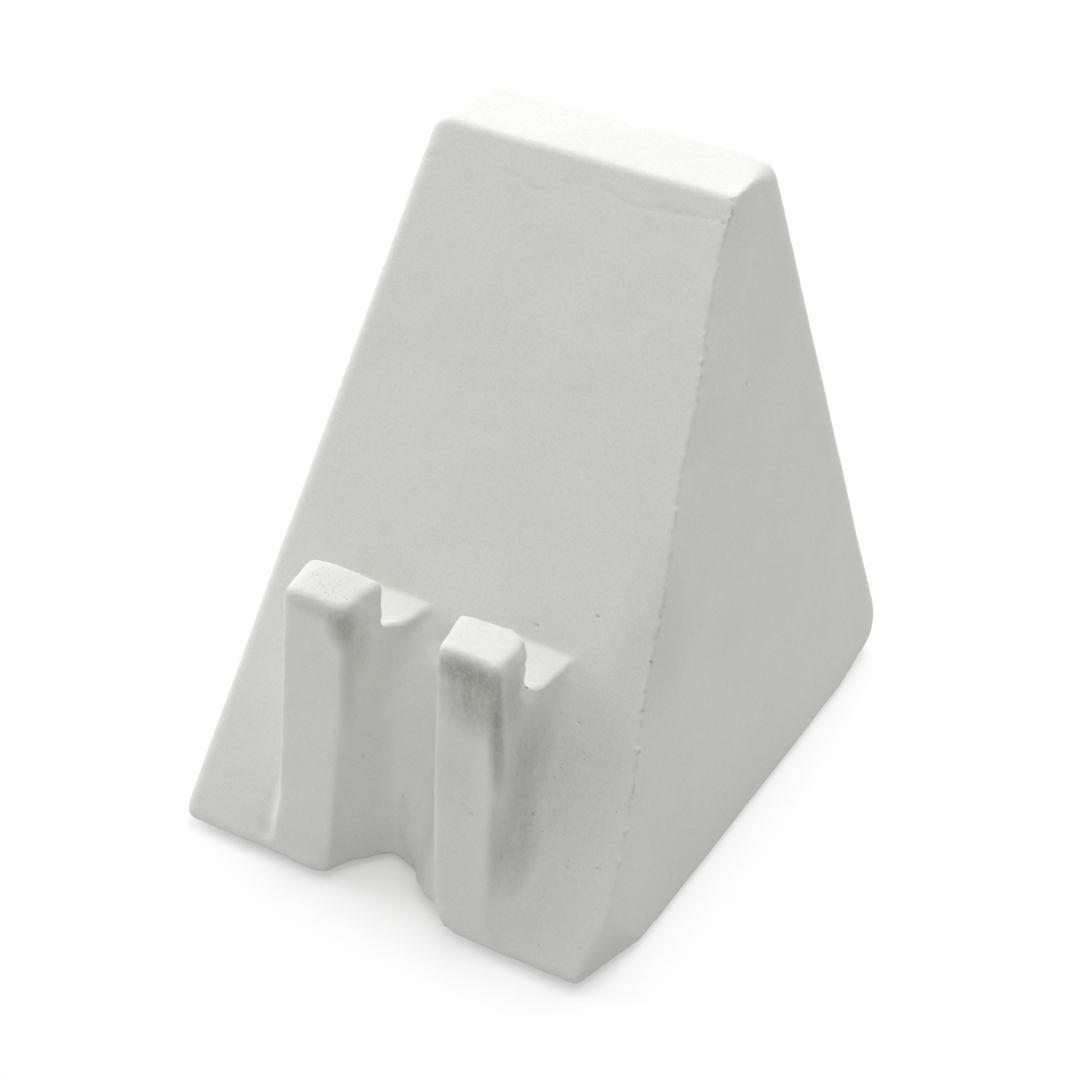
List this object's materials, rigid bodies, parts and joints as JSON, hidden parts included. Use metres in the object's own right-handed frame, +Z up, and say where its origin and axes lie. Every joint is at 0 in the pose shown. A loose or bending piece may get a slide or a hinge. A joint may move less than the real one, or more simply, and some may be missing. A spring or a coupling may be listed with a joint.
{
  "type": "phone stand",
  "caption": "Wedge-shaped cast plaster phone stand with hooked lugs that hold a phone against a sloping face, a cable channel between them and felt pads under the base.",
  "frame": {"origin": "on the table, under the middle of the stand's box", "axes": "+Z up, -Y toward the user, so the sloping face and the lugs look to -Y; +X to the user's right"},
  "size_m": [0.0805, 0.1052, 0.1086],
  "materials": {
    "cast_plaster": "matte white cast plaster, smooth with small pits",
    "felt": "grey pressed felt"
  },
  "bodies": {
    "root": {"cast_body": "cast_plaster", "foot_pad_front_left": "felt", "foot_pad_front_right": "felt", "foot_pad_rear_left": "felt", "foot_pad_rear_right": "felt"}
  },
  "joints": []
}
